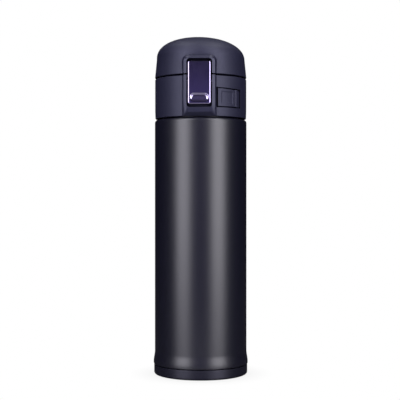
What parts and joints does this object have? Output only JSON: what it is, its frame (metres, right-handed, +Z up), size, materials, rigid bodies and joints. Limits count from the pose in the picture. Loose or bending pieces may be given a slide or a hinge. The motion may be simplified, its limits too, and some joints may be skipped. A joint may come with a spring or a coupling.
{
  "type": "vacuum flask",
  "caption": "Slim cylindrical vacuum flask with a domed one-push flip cap, a front release lever in a raised bezel and a sliding lock.",
  "frame": {"origin": "centre of the resting face, under the flask's axis", "axes": "+Z up along the flask's axis, -Y towards the release lever, +X towards the lock slider"},
  "size_m": [0.0678, 0.0694, 0.244],
  "materials": {
    "body_paint": "satin dark charcoal navy with fine metallic speckle",
    "base_plastic": "satin",
    "lid_plastic": "satin moulded",
    "inner_plastic": "smooth moulded",
    "lever_plating": "dark violet plating",
    "lever_plastic": "satin",
    "silicone_seal": "matte",
    "vessel_steel": "brushed around the axis",
    "spring_steel": "drawn wire and ground pins",
    "copper_foil": "thin crinkled foil",
    "getter_metal": "sintered",
    "sealing_glass": "fused bead"
  },
  "bodies": {
    "bottle": {"outer_shell": "body_paint", "inner_vessel": "vessel_steel", "copper_foil_wrap": "copper_foil", "getter": "getter_metal", "outer_bottom_plate": "vessel_steel", "vacuum_seal_bead": "sealing_glass", "base_cup": "base_plastic"},
    "stopper_ring": {"stopper_gasket": "silicone_seal"},
    "lid": {"lid_collar": "lid_plastic", "stopper_body": "inner_plastic", "mouthpiece": "inner_plastic", "mouthpiece_gasket": "silicone_seal", "hinge_pin": "spring_steel", "hinge_spring": "spring_steel", "lever_pin": "spring_steel", "lever_spring": "spring_steel"},
    "cap": {"cap_shell": "lid_plastic", "cap_liner": "inner_plastic", "spout_seal": "silicone_seal"},
    "lever": {"release_lever": "lever_plastic", "lever_faceplate": "lever_plating"},
    "lock": {"lock_slider": "lid_plastic"}
  },
  "joints": [
    {"name": "lid_rise", "type": "slide", "parent": "bottle", "child": "stopper_ring", "axis": [0, 0, 1], "range_m": [0, 0.0065]},
    {"name": "lid_turn", "type": "hinge", "parent": "stopper_ring", "child": "lid", "pos_m": [0, 0, 0.19], "axis": [0, 0, 1], "range_deg": [0, 450]},
    {"name": "cap_flip", "type": "hinge", "parent": "lid", "child": "cap", "pos_m": [0, 0.0323, 0.2125], "axis": [-1, 0, 0], "range_deg": [0, 140], "deforming": ["hinge_spring"]},
    {"name": "lever_press", "type": "hinge", "parent": "lid", "child": "lever", "pos_m": [0, -0.0303, 0.2095], "axis": [1, 0, 0], "range_deg": [0, 6], "stiffness_Nm_per_rad": 0.02, "springref_deg": -17.19, "deforming": ["lever_spring"]},
    {"name": "lock_slide", "type": "hinge", "parent": "lid", "child": "lock", "pos_m": [0, 0, 0.198], "axis": [0, 0, 1], "range_deg": [0, 6]}
  ],
  "couplings": [
    {"joint": "lid_rise", "follows": "lid_turn", "m_per_rad": 0.00079577}
  ]
}
